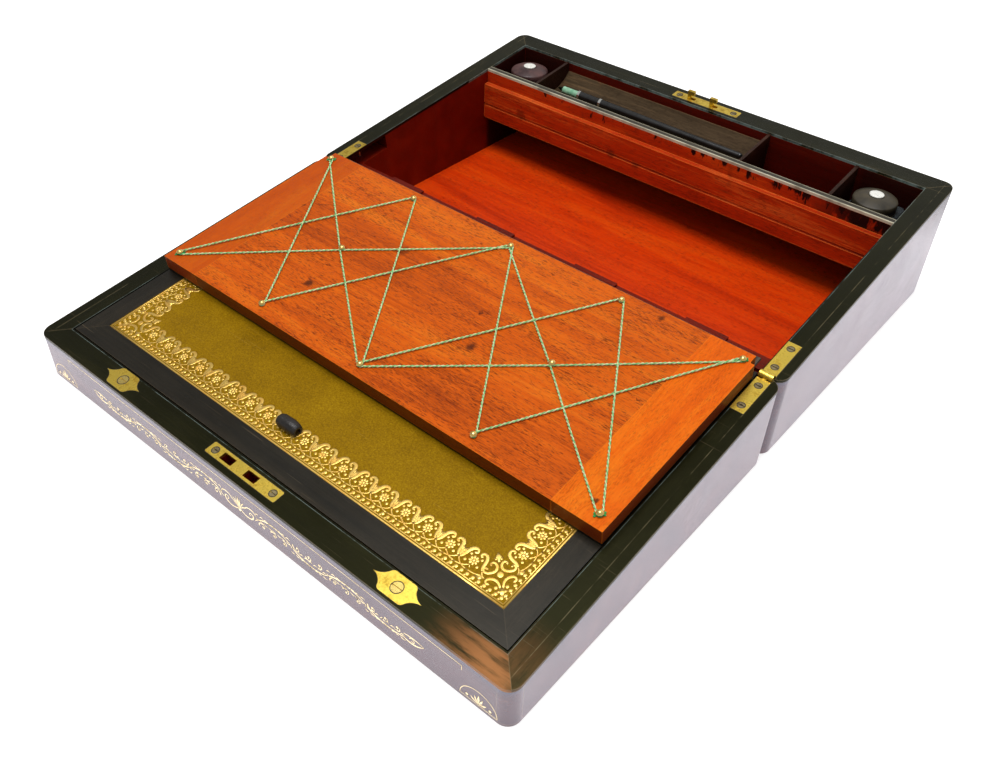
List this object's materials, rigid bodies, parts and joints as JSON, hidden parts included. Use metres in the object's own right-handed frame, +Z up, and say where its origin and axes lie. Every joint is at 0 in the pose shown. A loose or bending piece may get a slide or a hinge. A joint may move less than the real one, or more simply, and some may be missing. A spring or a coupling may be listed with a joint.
{
  "type": "writing slope",
  "caption": "Box in two wedge-shaped halves that open flat into a sloping leather-faced writing surface, with hinged flaps over paper wells, a pen trough and inkwells.",
  "frame": {"origin": "on the surface it stands on, under the middle of the hinge line between its two open halves", "axes": "+Z up; +X to the right along the hinge line; the lid half lies towards -Y and the main box towards +Y"},
  "size_m": [0.4, 0.494, 0.0957],
  "materials": {
    "dark_veneer": "french polished",
    "mahogany": "waxed",
    "brass": "tarnished satin",
    "screw_steel": "worn",
    "writing_leather": "gold tooled",
    "black_leather": "worn satin",
    "rack_cord": "twisted",
    "clear_glass": "clear",
    "turned_wood": "turned and polished",
    "pearl": "polished",
    "lacquered_wood": "black lacquer",
    "green_paint": "gloss",
    "silvered": "polished",
    "nib_steel": "tarnished"
  },
  "bodies": {
    "main_box": {"main_carcass": "mahogany", "main_bottom": "mahogany", "main_veneer": "dark_veneer", "main_corner_posts": "dark_veneer", "main_rim_facing": "dark_veneer", "main_front_bearer": "mahogany", "fascia_board": "mahogany", "fascia_cap": "dark_veneer", "fascia_ledge": "mahogany", "tray_floor": "mahogany", "compartment_partitions": "mahogany", "pen_trough": "mahogany", "lock_case": "brass", "lock_selvedge": "brass", "lock_selvedge_screws": "screw_steel", "escutcheon": "brass", "hinge_main_leaves": "brass", "hinge_main_screws": "screw_steel", "hinge_pins": "brass"},
    "lid": {"lid_carcass": "mahogany", "lid_panel": "mahogany", "lid_panel_veneer": "dark_veneer", "lid_veneer": "dark_veneer", "lid_corner_posts": "dark_veneer", "lid_rim_facing": "dark_veneer", "lid_bearers": "mahogany", "strike_plate": "brass", "strike_screws": "screw_steel", "cartouche_plates": "brass", "cartouche_screws": "screw_steel", "hinge_lid_leaves": "brass", "hinge_lid_screws": "screw_steel"},
    "lower_flap": {"lower_flap_board": "mahogany", "lower_flap_border": "dark_veneer", "lower_flap_leather": "writing_leather", "lower_flap_pivots": "brass", "pull_loop": "black_leather", "flap_hinge_strip": "black_leather"},
    "upper_flap": {"upper_flap_board": "mahogany", "upper_flap_clamps": "mahogany", "upper_flap_border": "dark_veneer", "upper_flap_leather": "writing_leather", "letter_rack_pins": "brass", "letter_rack_cord": "rack_cord"},
    "lock_hooks": {"lock_hooks": "brass"},
    "inkwell_left": {"inkwell_left_bottle": "clear_glass"},
    "inkwell_left_cap": {"inkwell_left_cap": "turned_wood", "inkwell_left_disc": "pearl"},
    "inkwell_right": {"inkwell_right_bottle": "clear_glass"},
    "inkwell_right_cap": {"inkwell_right_cap": "turned_wood", "inkwell_right_disc": "pearl"},
    "pen": {"pen_holder": "lacquered_wood", "pen_ferrule": "green_paint", "pen_bands": "silvered", "pen_nib": "nib_steel"}
  },
  "joints": [
    {"name": "lid_fold", "type": "hinge", "parent": "main_box", "child": "lid", "pos_m": [0, 0, 0.061], "axis": [-1, 0, 0], "range_deg": [0, 180]},
    {"name": "lower_flap_lift", "type": "hinge", "parent": "lid", "child": "lower_flap", "pos_m": [0, -0.00353, 0.05681], "axis": [1, 0, 0], "range_deg": [-100, 0]},
    {"name": "upper_flap_turn", "type": "hinge", "parent": "lower_flap", "child": "upper_flap", "pos_m": [0, 0.01084, 0.06227], "axis": [-1, 0, 0], "range_deg": [0, 180], "deforming": ["flap_hinge_strip"]},
    {"name": "lock_slide", "type": "slide", "parent": "main_box", "child": "lock_hooks", "axis": [1, 0, 0], "range_m": [0, 0.0035]},
    {"name": "inkwell_left_lift", "type": "slide", "parent": "main_box", "child": "inkwell_left", "axis": [0, 0, -1], "range_m": [-0.07, 0]},
    {"name": "inkwell_left_cap_lift", "type": "slide", "parent": "inkwell_left", "child": "inkwell_left_cap", "axis": [0, 0, -1], "range_m": [-0.03, 0]},
    {"name": "inkwell_right_lift", "type": "slide", "parent": "main_box", "child": "inkwell_right", "axis": [0, 0, -1], "range_m": [-0.07, 0]},
    {"name": "inkwell_right_cap_lift", "type": "slide", "parent": "inkwell_right", "child": "inkwell_right_cap", "axis": [0, 0, -1], "range_m": [-0.03, 0]},
    {"name": "pen_lift", "type": "slide", "parent": "main_box", "child": "pen", "axis": [0, 0, -1], "range_m": [-0.05, 0]}
  ]
}
